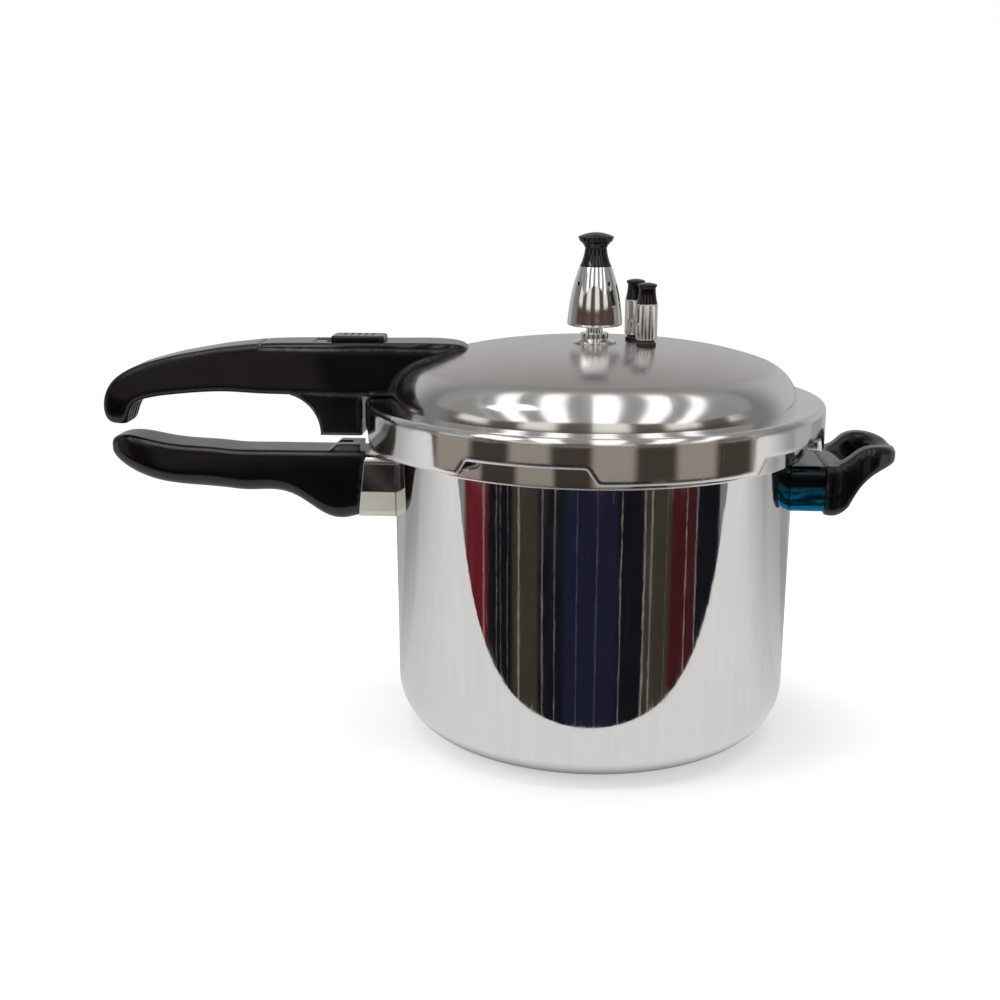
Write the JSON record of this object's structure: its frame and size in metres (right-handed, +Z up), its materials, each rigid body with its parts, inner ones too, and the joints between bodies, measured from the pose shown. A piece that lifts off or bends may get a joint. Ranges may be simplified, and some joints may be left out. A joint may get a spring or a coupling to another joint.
{
  "type": "pressure cooker",
  "caption": "Stovetop pressure cooker with a bayonet lid, long paired handles, a helper loop, a cone weight on its vent, sprung relief valves and a thumb slide that drops a latch.",
  "frame": {"origin": "centre of the pot's flat base, on the surface it stands on", "axes": "+Z up along the pot's axis, the long handles along -X, the helper loop along +X"},
  "size_m": [0.447, 0.2562, 0.281],
  "materials": {
    "polished_aluminium": "mirror polished",
    "spun_aluminium": "satin spun on top, polished at the shoulder and skirt",
    "black_bakelite": "glossy moulded",
    "polished_steel": "polished",
    "filmed_steel": "polished, under a blue protective film",
    "plain_steel": "plain",
    "rivet_aluminium": "plain",
    "grey_rubber": "matte",
    "black_rubber": "matte",
    "bright_chrome": "bright plated"
  },
  "bodies": {
    "pot": {"pot_shell": "polished_aluminium", "pot_handle_bracket": "plain_steel", "pot_handle_rivets": "rivet_aluminium", "pot_handle_sleeve": "polished_steel", "pot_handle_grip": "black_bakelite", "pot_handle_bolt": "plain_steel", "helper_bracket": "plain_steel", "helper_rivets": "rivet_aluminium", "helper_sleeve": "filmed_steel", "helper_grip": "black_bakelite", "helper_bolt": "plain_steel"},
    "gasket": {"gasket": "grey_rubber"},
    "lid": {"lid_shell": "spun_aluminium", "lid_handle_bracket": "plain_steel", "lid_handle_rivets": "rivet_aluminium", "lid_handle_grip": "black_bakelite", "lid_handle_screw": "plain_steel", "lid_handle_cover": "black_bakelite", "cover_screw": "plain_steel", "lock_spring": "plain_steel", "float_bush": "bright_chrome", "float_nut": "bright_chrome", "vent_base": "bright_chrome", "vent_tube": "bright_chrome", "vent_washer": "black_rubber", "vent_nut": "bright_chrome", "vent_strainer": "bright_chrome", "relief_1_body": "bright_chrome", "relief_1_seal": "black_rubber", "relief_1_nut": "bright_chrome", "relief_1_spring": "plain_steel", "relief_2_body": "bright_chrome", "relief_2_seal": "black_rubber", "relief_2_nut": "bright_chrome", "relief_2_spring": "plain_steel"},
    "weight": {"weight_cone": "bright_chrome", "weight_knob": "black_bakelite", "weight_needle": "plain_steel"},
    "relief_1": {"relief_1_plunger": "bright_chrome", "relief_1_cap": "black_bakelite"},
    "relief_2": {"relief_2_plunger": "bright_chrome", "relief_2_cap": "black_bakelite"},
    "float": {"float_pin": "bright_chrome", "float_seal": "black_rubber"},
    "lock": {"lock_slide": "black_bakelite", "lock_bar": "plain_steel"},
    "latch": {"latch": "plain_steel"}
  },
  "joints": [
    {"name": "lid_lift", "type": "slide", "parent": "pot", "child": "gasket", "axis": [0, 0, 1], "range_m": [0, 0.2]},
    {"name": "lid_turn", "type": "hinge", "parent": "gasket", "child": "lid", "pos_m": [0, 0, 0.19], "axis": [0, 0, 1], "range_deg": [0, 36]},
    {"name": "weight_lift", "type": "slide", "parent": "lid", "child": "weight", "axis": [0, 0, 1], "range_m": [0, 0.028]},
    {"name": "relief_1_pop", "type": "slide", "parent": "lid", "child": "relief_1", "axis": [0, 0, 1], "range_m": [0, 0.003], "stiffness_N_per_m": 600, "springref_m": -0.002, "deforming": ["relief_1_spring"]},
    {"name": "relief_2_pop", "type": "slide", "parent": "lid", "child": "relief_2", "axis": [0, 0, 1], "range_m": [0, 0.003], "stiffness_N_per_m": 600, "springref_m": -0.002, "deforming": ["relief_2_spring"]},
    {"name": "float_rise", "type": "slide", "parent": "lid", "child": "float", "axis": [0, 0, 1], "range_m": [0, 0.0035]},
    {"name": "lock_slide", "type": "slide", "parent": "lid", "child": "lock", "axis": [-1, 0, 0], "range_m": [0, 0.01], "deforming": ["lock_spring"]},
    {"name": "latch_drop", "type": "slide", "parent": "lid", "child": "latch", "axis": [0, 0, -1], "range_m": [0, 0.01]}
  ],
  "couplings": [
    {"joint": "latch_drop", "follows": "lock_slide", "ratio": 1}
  ]
}
